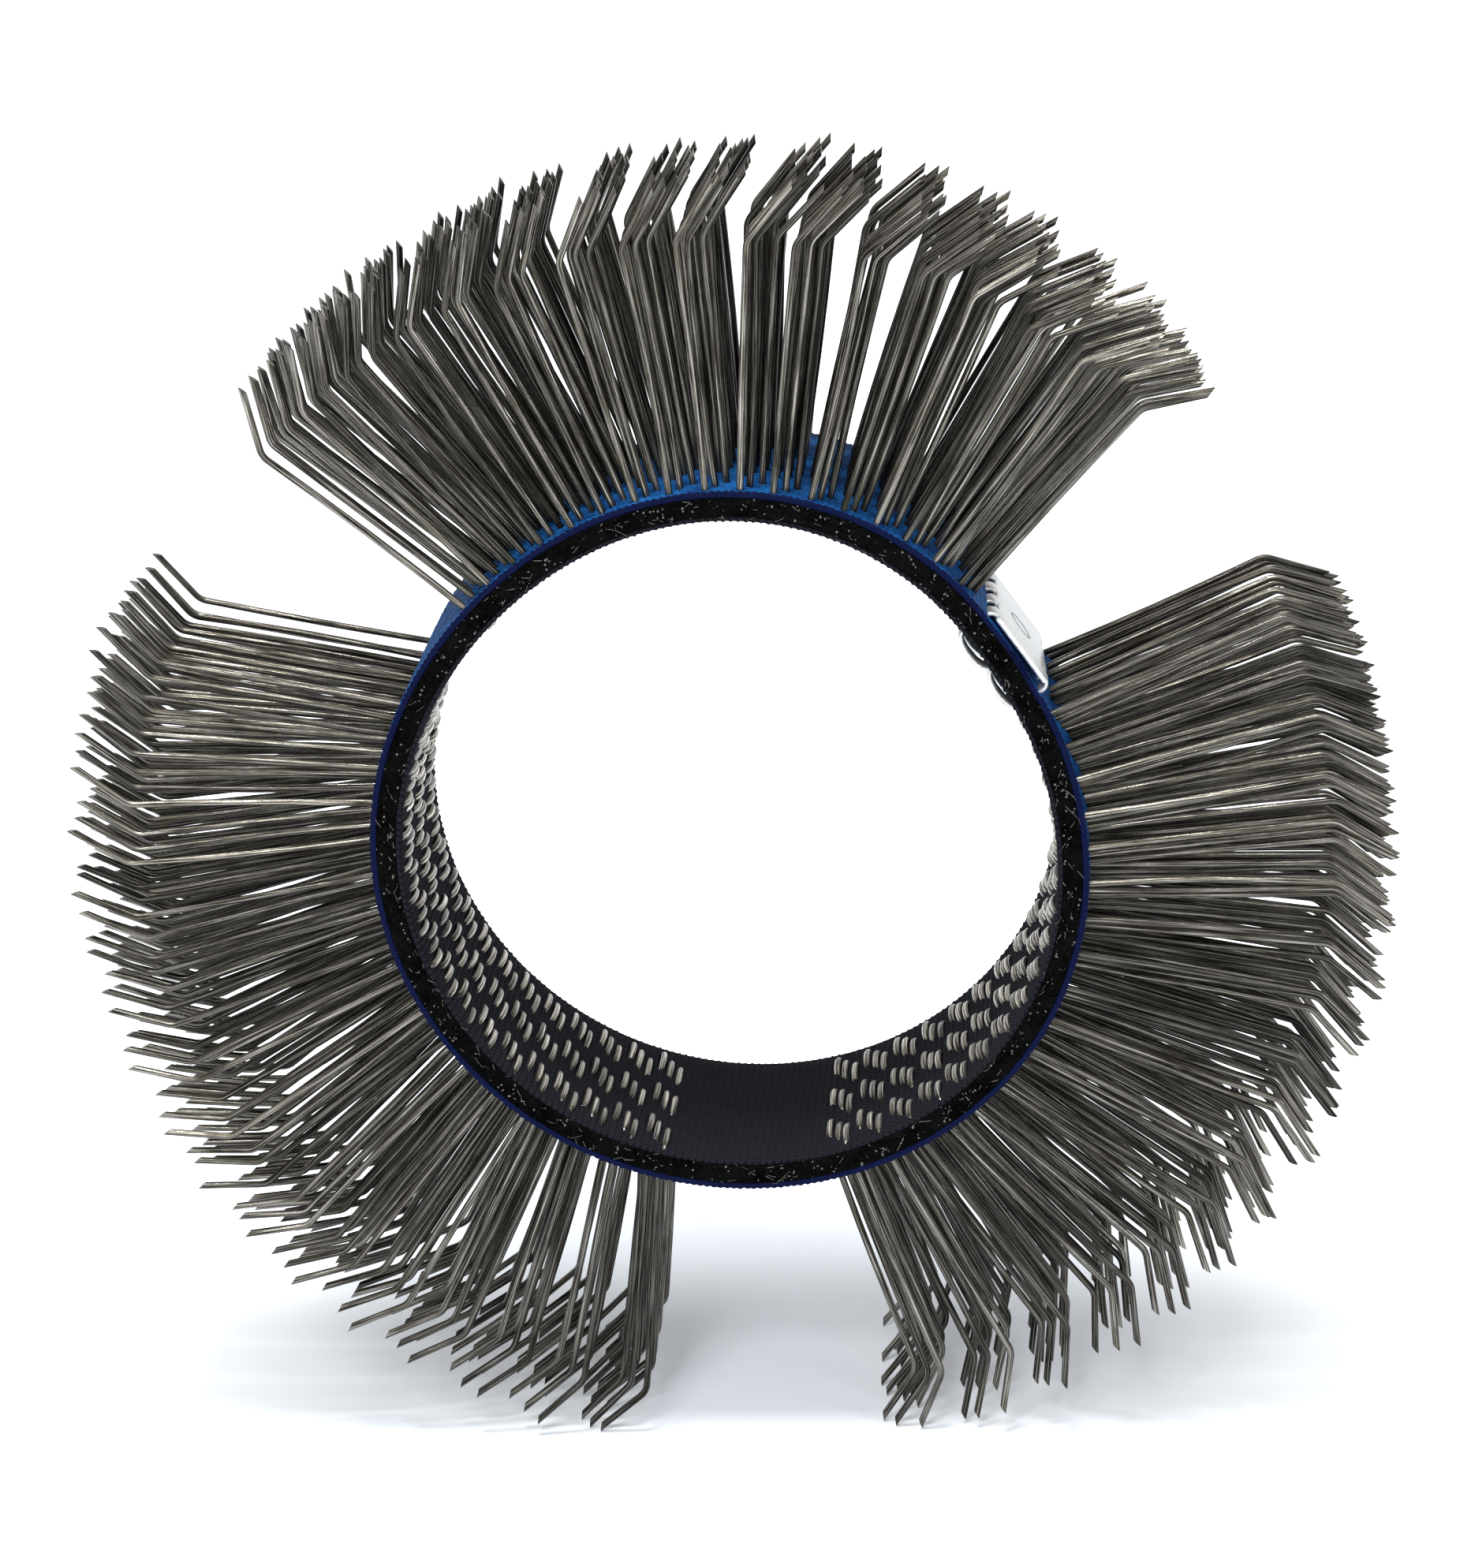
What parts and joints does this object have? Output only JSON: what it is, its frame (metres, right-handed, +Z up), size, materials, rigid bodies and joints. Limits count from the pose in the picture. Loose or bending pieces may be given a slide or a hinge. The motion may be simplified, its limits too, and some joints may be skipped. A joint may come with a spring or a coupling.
{
  "type": "rotary wire brush belt",
  "caption": "Rotary brush belt of knee-bent spring wires stapled through a multi-ply ring closed by a toothed clip, with gaps between its bristle packs.",
  "frame": {"origin": "centre of the belt's bore, halfway along its width", "axes": "Y along the bore, front face towards -Y; Z up, with the brush standing on the tips of its wires; the clip is at the upper right as seen from the front"},
  "size_m": [0.1134, 0.023, 0.1119],
  "materials": {
    "lining": "ribbed textile, rubberised, matt",
    "core": "cut textile and rubber, matt, pale fibre specks",
    "cover": "woven, coated, satin",
    "clip": "zinc-plated sheet, bright",
    "wire": "drawn spring steel, dull grey with bright highlights"
  },
  "bodies": {
    "belt": {"lining_ply": "lining", "core_ply": "core", "cover_ply": "cover", "joint_clip": "clip", "top_staple_crowns": "wire", "left_staple_crowns": "wire", "right_staple_crowns": "wire"},
    "top_row_01_wires": {"top_row_01": "wire"},
    "top_row_02_wires": {"top_row_02": "wire"},
    "top_row_03_wires": {"top_row_03": "wire"},
    "top_row_04_wires": {"top_row_04": "wire"},
    "top_row_05_wires": {"top_row_05": "wire"},
    "top_row_06_wires": {"top_row_06": "wire"},
    "top_row_07_wires": {"top_row_07": "wire"},
    "top_row_08_wires": {"top_row_08": "wire"},
    "top_row_09_wires": {"top_row_09": "wire"},
    "top_row_10_wires": {"top_row_10": "wire"},
    "top_row_11_wires": {"top_row_11": "wire"},
    "top_row_12_wires": {"top_row_12": "wire"},
    "top_row_13_wires": {"top_row_13": "wire"},
    "top_row_14_wires": {"top_row_14": "wire"},
    "top_row_15_wires": {"top_row_15": "wire"},
    "top_row_16_wires": {"top_row_16": "wire"},
    "top_row_17_wires": {"top_row_17": "wire"},
    "left_row_01_wires": {"left_row_01": "wire"},
    "left_row_02_wires": {"left_row_02": "wire"},
    "left_row_03_wires": {"left_row_03": "wire"},
    "left_row_04_wires": {"left_row_04": "wire"},
    "left_row_05_wires": {"left_row_05": "wire"},
    "left_row_06_wires": {"left_row_06": "wire"},
    "left_row_07_wires": {"left_row_07": "wire"},
    "left_row_08_wires": {"left_row_08": "wire"},
    "left_row_09_wires": {"left_row_09": "wire"},
    "left_row_10_wires": {"left_row_10": "wire"},
    "left_row_11_wires": {"left_row_11": "wire"},
    "left_row_12_wires": {"left_row_12": "wire"},
    "left_row_13_wires": {"left_row_13": "wire"},
    "left_row_14_wires": {"left_row_14": "wire"},
    "left_row_15_wires": {"left_row_15": "wire"},
    "left_row_16_wires": {"left_row_16": "wire"},
    "left_row_17_wires": {"left_row_17": "wire"},
    "right_row_01_wires": {"right_row_01": "wire"},
    "right_row_02_wires": {"right_row_02": "wire"},
    "right_row_03_wires": {"right_row_03": "wire"},
    "right_row_04_wires": {"right_row_04": "wire"},
    "right_row_05_wires": {"right_row_05": "wire"},
    "right_row_06_wires": {"right_row_06": "wire"},
    "right_row_07_wires": {"right_row_07": "wire"},
    "right_row_08_wires": {"right_row_08": "wire"},
    "right_row_09_wires": {"right_row_09": "wire"},
    "right_row_10_wires": {"right_row_10": "wire"},
    "right_row_11_wires": {"right_row_11": "wire"},
    "right_row_12_wires": {"right_row_12": "wire"},
    "right_row_13_wires": {"right_row_13": "wire"},
    "right_row_14_wires": {"right_row_14": "wire"},
    "right_row_15_wires": {"right_row_15": "wire"},
    "right_row_16_wires": {"right_row_16": "wire"},
    "right_row_17_wires": {"right_row_17": "wire"}
  },
  "joints": [
    {"name": "top_row_01_flex", "type": "hinge", "parent": "belt", "child": "top_row_01_wires", "pos_m": [0.02336, 0, 0.02566], "axis": [0, -1, 0], "range_deg": [-8, 8], "stiffness_Nm_per_rad": 3.5},
    {"name": "top_row_02_flex", "type": "hinge", "parent": "belt", "child": "top_row_02_wires", "pos_m": [0.02085, 0, 0.02773], "axis": [0, -1, 0], "range_deg": [-8, 8], "stiffness_Nm_per_rad": 3.5},
    {"name": "top_row_03_flex", "type": "hinge", "parent": "belt", "child": "top_row_03_wires", "pos_m": [0.01816, 0, 0.02957], "axis": [0, -1, 0], "range_deg": [-8, 8], "stiffness_Nm_per_rad": 3.5},
    {"name": "top_row_04_flex", "type": "hinge", "parent": "belt", "child": "top_row_04_wires", "pos_m": [0.01531, 0, 0.03114], "axis": [0, -1, 0], "range_deg": [-8, 8], "stiffness_Nm_per_rad": 3.5},
    {"name": "top_row_05_flex", "type": "hinge", "parent": "belt", "child": "top_row_05_wires", "pos_m": [0.01232, 0, 0.03244], "axis": [0, -1, 0], "range_deg": [-8, 8], "stiffness_Nm_per_rad": 3.5},
    {"name": "top_row_06_flex", "type": "hinge", "parent": "belt", "child": "top_row_06_wires", "pos_m": [0.00923, 0, 0.03345], "axis": [0, -1, 0], "range_deg": [-8, 8], "stiffness_Nm_per_rad": 3.5},
    {"name": "top_row_07_flex", "type": "hinge", "parent": "belt", "child": "top_row_07_wires", "pos_m": [0.00605, 0, 0.03417], "axis": [0, -1, 0], "range_deg": [-8, 8], "stiffness_Nm_per_rad": 3.5},
    {"name": "top_row_08_flex", "type": "hinge", "parent": "belt", "child": "top_row_08_wires", "pos_m": [0.00282, 0, 0.03458], "axis": [0, -1, 0], "range_deg": [-8, 8], "stiffness_Nm_per_rad": 3.5},
    {"name": "top_row_09_flex", "type": "hinge", "parent": "belt", "child": "top_row_09_wires", "pos_m": [-0.00044, 0, 0.03469], "axis": [0, -1, 0], "range_deg": [-8, 8], "stiffness_Nm_per_rad": 3.5},
    {"name": "top_row_10_flex", "type": "hinge", "parent": "belt", "child": "top_row_10_wires", "pos_m": [-0.00369, 0, 0.0345], "axis": [0, -1, 0], "range_deg": [-8, 8], "stiffness_Nm_per_rad": 3.5},
    {"name": "top_row_11_flex", "type": "hinge", "parent": "belt", "child": "top_row_11_wires", "pos_m": [-0.00691, 0, 0.034], "axis": [0, -1, 0], "range_deg": [-8, 8], "stiffness_Nm_per_rad": 3.5},
    {"name": "top_row_12_flex", "type": "hinge", "parent": "belt", "child": "top_row_12_wires", "pos_m": [-0.01006, 0, 0.0332], "axis": [0, -1, 0], "range_deg": [-8, 8], "stiffness_Nm_per_rad": 3.5},
    {"name": "top_row_13_flex", "type": "hinge", "parent": "belt", "child": "top_row_13_wires", "pos_m": [-0.01313, 0, 0.03211], "axis": [0, -1, 0], "range_deg": [-8, 8], "stiffness_Nm_per_rad": 3.5},
    {"name": "top_row_14_flex", "type": "hinge", "parent": "belt", "child": "top_row_14_wires", "pos_m": [-0.01608, 0, 0.03073], "axis": [0, -1, 0], "range_deg": [-8, 8], "stiffness_Nm_per_rad": 3.5},
    {"name": "top_row_15_flex", "type": "hinge", "parent": "belt", "child": "top_row_15_wires", "pos_m": [-0.01889, 0, 0.02909], "axis": [0, -1, 0], "range_deg": [-8, 8], "stiffness_Nm_per_rad": 3.5},
    {"name": "top_row_16_flex", "type": "hinge", "parent": "belt", "child": "top_row_16_wires", "pos_m": [-0.02153, 0, 0.02718], "axis": [0, -1, 0], "range_deg": [-8, 8], "stiffness_Nm_per_rad": 3.5},
    {"name": "top_row_17_flex", "type": "hinge", "parent": "belt", "child": "top_row_17_wires", "pos_m": [-0.02398, 0, 0.02504], "axis": [0, -1, 0], "range_deg": [-8, 8], "stiffness_Nm_per_rad": 3.5},
    {"name": "left_row_01_flex", "type": "hinge", "parent": "belt", "child": "left_row_01_wires", "pos_m": [-0.03231, 0, 0.01243], "axis": [0, -1, 0], "range_deg": [-8, 8], "stiffness_Nm_per_rad": 3.5},
    {"name": "left_row_02_flex", "type": "hinge", "parent": "belt", "child": "left_row_02_wires", "pos_m": [-0.03343, 0, 0.00905], "axis": [0, -1, 0], "range_deg": [-8, 8], "stiffness_Nm_per_rad": 3.5},
    {"name": "left_row_03_flex", "type": "hinge", "parent": "belt", "child": "left_row_03_wires", "pos_m": [-0.0342, 0, 0.00555], "axis": [0, -1, 0], "range_deg": [-8, 8], "stiffness_Nm_per_rad": 3.5},
    {"name": "left_row_04_flex", "type": "hinge", "parent": "belt", "child": "left_row_04_wires", "pos_m": [-0.0346, 0, 0.00198], "axis": [0, -1, 0], "range_deg": [-8, 8], "stiffness_Nm_per_rad": 3.5},
    {"name": "left_row_05_flex", "type": "hinge", "parent": "belt", "child": "left_row_05_wires", "pos_m": [-0.03463, 0, -0.00162], "axis": [0, -1, 0], "range_deg": [-8, 8], "stiffness_Nm_per_rad": 3.5},
    {"name": "left_row_06_flex", "type": "hinge", "parent": "belt", "child": "left_row_06_wires", "pos_m": [-0.03428, 0, -0.00522], "axis": [0, -1, 0], "range_deg": [-8, 8], "stiffness_Nm_per_rad": 3.5},
    {"name": "left_row_07_flex", "type": "hinge", "parent": "belt", "child": "left_row_07_wires", "pos_m": [-0.03355, 0, -0.00877], "axis": [0, -1, 0], "range_deg": [-8, 8], "stiffness_Nm_per_rad": 3.5},
    {"name": "left_row_08_flex", "type": "hinge", "parent": "belt", "child": "left_row_08_wires", "pos_m": [-0.03245, 0, -0.01224], "axis": [0, -1, 0], "range_deg": [-8, 8], "stiffness_Nm_per_rad": 3.5},
    {"name": "left_row_09_flex", "type": "hinge", "parent": "belt", "child": "left_row_09_wires", "pos_m": [-0.03099, 0, -0.01558], "axis": [0, -1, 0], "range_deg": [-8, 8], "stiffness_Nm_per_rad": 3.5},
    {"name": "left_row_10_flex", "type": "hinge", "parent": "belt", "child": "left_row_10_wires", "pos_m": [-0.02917, 0, -0.01876], "axis": [0, -1, 0], "range_deg": [-8, 8], "stiffness_Nm_per_rad": 3.5},
    {"name": "left_row_11_flex", "type": "hinge", "parent": "belt", "child": "left_row_11_wires", "pos_m": [-0.02703, 0, -0.02173], "axis": [0, -1, 0], "range_deg": [-8, 8], "stiffness_Nm_per_rad": 3.5},
    {"name": "left_row_12_flex", "type": "hinge", "parent": "belt", "child": "left_row_12_wires", "pos_m": [-0.02457, 0, -0.02448], "axis": [0, -1, 0], "range_deg": [-8, 8], "stiffness_Nm_per_rad": 3.5},
    {"name": "left_row_13_flex", "type": "hinge", "parent": "belt", "child": "left_row_13_wires", "pos_m": [-0.02183, 0, -0.02695], "axis": [0, -1, 0], "range_deg": [-8, 8], "stiffness_Nm_per_rad": 3.5},
    {"name": "left_row_14_flex", "type": "hinge", "parent": "belt", "child": "left_row_14_wires", "pos_m": [-0.01883, 0, -0.02912], "axis": [0, -1, 0], "range_deg": [-8, 8], "stiffness_Nm_per_rad": 3.5},
    {"name": "left_row_15_flex", "type": "hinge", "parent": "belt", "child": "left_row_15_wires", "pos_m": [-0.0156, 0, -0.03096], "axis": [0, -1, 0], "range_deg": [-8, 8], "stiffness_Nm_per_rad": 3.5},
    {"name": "left_row_16_flex", "type": "hinge", "parent": "belt", "child": "left_row_16_wires", "pos_m": [-0.01219, 0, -0.03245], "axis": [0, -1, 0], "range_deg": [-8, 8], "stiffness_Nm_per_rad": 3.5},
    {"name": "left_row_17_flex", "type": "hinge", "parent": "belt", "child": "left_row_17_wires", "pos_m": [-0.00863, 0, -0.03356], "axis": [0, -1, 0], "range_deg": [-8, 8], "stiffness_Nm_per_rad": 3.5},
    {"name": "right_row_01_flex", "type": "hinge", "parent": "belt", "child": "right_row_01_wires", "pos_m": [0.01026, 0, -0.03314], "axis": [0, -1, 0], "range_deg": [-8, 8], "stiffness_Nm_per_rad": 3.5},
    {"name": "right_row_02_flex", "type": "hinge", "parent": "belt", "child": "right_row_02_wires", "pos_m": [0.01372, 0, -0.03187], "axis": [0, -1, 0], "range_deg": [-8, 8], "stiffness_Nm_per_rad": 3.5},
    {"name": "right_row_03_flex", "type": "hinge", "parent": "belt", "child": "right_row_03_wires", "pos_m": [0.017, 0, -0.03024], "axis": [0, -1, 0], "range_deg": [-8, 8], "stiffness_Nm_per_rad": 3.5},
    {"name": "right_row_04_flex", "type": "hinge", "parent": "belt", "child": "right_row_04_wires", "pos_m": [0.02008, 0, -0.02828], "axis": [0, -1, 0], "range_deg": [-8, 8], "stiffness_Nm_per_rad": 3.5},
    {"name": "right_row_05_flex", "type": "hinge", "parent": "belt", "child": "right_row_05_wires", "pos_m": [0.02292, 0, -0.02601], "axis": [0, -1, 0], "range_deg": [-8, 8], "stiffness_Nm_per_rad": 3.5},
    {"name": "right_row_06_flex", "type": "hinge", "parent": "belt", "child": "right_row_06_wires", "pos_m": [0.0255, 0, -0.02348], "axis": [0, -1, 0], "range_deg": [-8, 8], "stiffness_Nm_per_rad": 3.5},
    {"name": "right_row_07_flex", "type": "hinge", "parent": "belt", "child": "right_row_07_wires", "pos_m": [0.0278, 0, -0.0207], "axis": [0, -1, 0], "range_deg": [-8, 8], "stiffness_Nm_per_rad": 3.5},
    {"name": "right_row_08_flex", "type": "hinge", "parent": "belt", "child": "right_row_08_wires", "pos_m": [0.02979, 0, -0.01772], "axis": [0, -1, 0], "range_deg": [-8, 8], "stiffness_Nm_per_rad": 3.5},
    {"name": "right_row_09_flex", "type": "hinge", "parent": "belt", "child": "right_row_09_wires", "pos_m": [0.03145, 0, -0.01456], "axis": [0, -1, 0], "range_deg": [-8, 8], "stiffness_Nm_per_rad": 3.5},
    {"name": "right_row_10_flex", "type": "hinge", "parent": "belt", "child": "right_row_10_wires", "pos_m": [0.03278, 0, -0.01126], "axis": [0, -1, 0], "range_deg": [-8, 8], "stiffness_Nm_per_rad": 3.5},
    {"name": "right_row_11_flex", "type": "hinge", "parent": "belt", "child": "right_row_11_wires", "pos_m": [0.03376, 0, -0.00786], "axis": [0, -1, 0], "range_deg": [-8, 8], "stiffness_Nm_per_rad": 3.5},
    {"name": "right_row_12_flex", "type": "hinge", "parent": "belt", "child": "right_row_12_wires", "pos_m": [0.03439, 0, -0.00438], "axis": [0, -1, 0], "range_deg": [-8, 8], "stiffness_Nm_per_rad": 3.5},
    {"name": "right_row_13_flex", "type": "hinge", "parent": "belt", "child": "right_row_13_wires", "pos_m": [0.03466, 0, -0.00088], "axis": [0, -1, 0], "range_deg": [-8, 8], "stiffness_Nm_per_rad": 3.5},
    {"name": "right_row_14_flex", "type": "hinge", "parent": "belt", "child": "right_row_14_wires", "pos_m": [0.03458, 0, 0.00262], "axis": [0, -1, 0], "range_deg": [-8, 8], "stiffness_Nm_per_rad": 3.5},
    {"name": "right_row_15_flex", "type": "hinge", "parent": "belt", "child": "right_row_15_wires", "pos_m": [0.03415, 0, 0.00607], "axis": [0, -1, 0], "range_deg": [-8, 8], "stiffness_Nm_per_rad": 3.5},
    {"name": "right_row_16_flex", "type": "hinge", "parent": "belt", "child": "right_row_16_wires", "pos_m": [0.03338, 0, 0.00946], "axis": [0, -1, 0], "range_deg": [-8, 8], "stiffness_Nm_per_rad": 3.5},
    {"name": "right_row_17_flex", "type": "hinge", "parent": "belt", "child": "right_row_17_wires", "pos_m": [0.03228, 0, 0.01273], "axis": [0, -1, 0], "range_deg": [-8, 8], "stiffness_Nm_per_rad": 3.5}
  ],
  "couplings": [
    {"joint": "top_row_01_flex", "follows": "top_row_09_flex", "ratio": 1},
    {"joint": "top_row_02_flex", "follows": "top_row_09_flex", "ratio": 1},
    {"joint": "top_row_03_flex", "follows": "top_row_09_flex", "ratio": 1},
    {"joint": "top_row_04_flex", "follows": "top_row_09_flex", "ratio": 1},
    {"joint": "top_row_05_flex", "follows": "top_row_09_flex", "ratio": 1},
    {"joint": "top_row_06_flex", "follows": "top_row_09_flex", "ratio": 1},
    {"joint": "top_row_07_flex", "follows": "top_row_09_flex", "ratio": 1},
    {"joint": "top_row_08_flex", "follows": "top_row_09_flex", "ratio": 1},
    {"joint": "top_row_10_flex", "follows": "top_row_09_flex", "ratio": 1},
    {"joint": "top_row_11_flex", "follows": "top_row_09_flex", "ratio": 1},
    {"joint": "top_row_12_flex", "follows": "top_row_09_flex", "ratio": 1},
    {"joint": "top_row_13_flex", "follows": "top_row_09_flex", "ratio": 1},
    {"joint": "top_row_14_flex", "follows": "top_row_09_flex", "ratio": 1},
    {"joint": "top_row_15_flex", "follows": "top_row_09_flex", "ratio": 1},
    {"joint": "top_row_16_flex", "follows": "top_row_09_flex", "ratio": 1},
    {"joint": "top_row_17_flex", "follows": "top_row_09_flex", "ratio": 1},
    {"joint": "left_row_01_flex", "follows": "left_row_09_flex", "ratio": 1},
    {"joint": "left_row_02_flex", "follows": "left_row_09_flex", "ratio": 1},
    {"joint": "left_row_03_flex", "follows": "left_row_09_flex", "ratio": 1},
    {"joint": "left_row_04_flex", "follows": "left_row_09_flex", "ratio": 1},
    {"joint": "left_row_05_flex", "follows": "left_row_09_flex", "ratio": 1},
    {"joint": "left_row_06_flex", "follows": "left_row_09_flex", "ratio": 1},
    {"joint": "left_row_07_flex", "follows": "left_row_09_flex", "ratio": 1},
    {"joint": "left_row_08_flex", "follows": "left_row_09_flex", "ratio": 1},
    {"joint": "left_row_10_flex", "follows": "left_row_09_flex", "ratio": 1},
    {"joint": "left_row_11_flex", "follows": "left_row_09_flex", "ratio": 1},
    {"joint": "left_row_12_flex", "follows": "left_row_09_flex", "ratio": 1},
    {"joint": "left_row_13_flex", "follows": "left_row_09_flex", "ratio": 1},
    {"joint": "left_row_14_flex", "follows": "left_row_09_flex", "ratio": 1},
    {"joint": "left_row_15_flex", "follows": "left_row_09_flex", "ratio": 1},
    {"joint": "left_row_16_flex", "follows": "left_row_09_flex", "ratio": 1},
    {"joint": "left_row_17_flex", "follows": "left_row_09_flex", "ratio": 1},
    {"joint": "right_row_01_flex", "follows": "right_row_09_flex", "ratio": 1},
    {"joint": "right_row_02_flex", "follows": "right_row_09_flex", "ratio": 1},
    {"joint": "right_row_03_flex", "follows": "right_row_09_flex", "ratio": 1},
    {"joint": "right_row_04_flex", "follows": "right_row_09_flex", "ratio": 1},
    {"joint": "right_row_05_flex", "follows": "right_row_09_flex", "ratio": 1},
    {"joint": "right_row_06_flex", "follows": "right_row_09_flex", "ratio": 1},
    {"joint": "right_row_07_flex", "follows": "right_row_09_flex", "ratio": 1},
    {"joint": "right_row_08_flex", "follows": "right_row_09_flex", "ratio": 1},
    {"joint": "right_row_10_flex", "follows": "right_row_09_flex", "ratio": 1},
    {"joint": "right_row_11_flex", "follows": "right_row_09_flex", "ratio": 1},
    {"joint": "right_row_12_flex", "follows": "right_row_09_flex", "ratio": 1},
    {"joint": "right_row_13_flex", "follows": "right_row_09_flex", "ratio": 1},
    {"joint": "right_row_14_flex", "follows": "right_row_09_flex", "ratio": 1},
    {"joint": "right_row_15_flex", "follows": "right_row_09_flex", "ratio": 1},
    {"joint": "right_row_16_flex", "follows": "right_row_09_flex", "ratio": 1},
    {"joint": "right_row_17_flex", "follows": "right_row_09_flex", "ratio": 1}
  ]
}
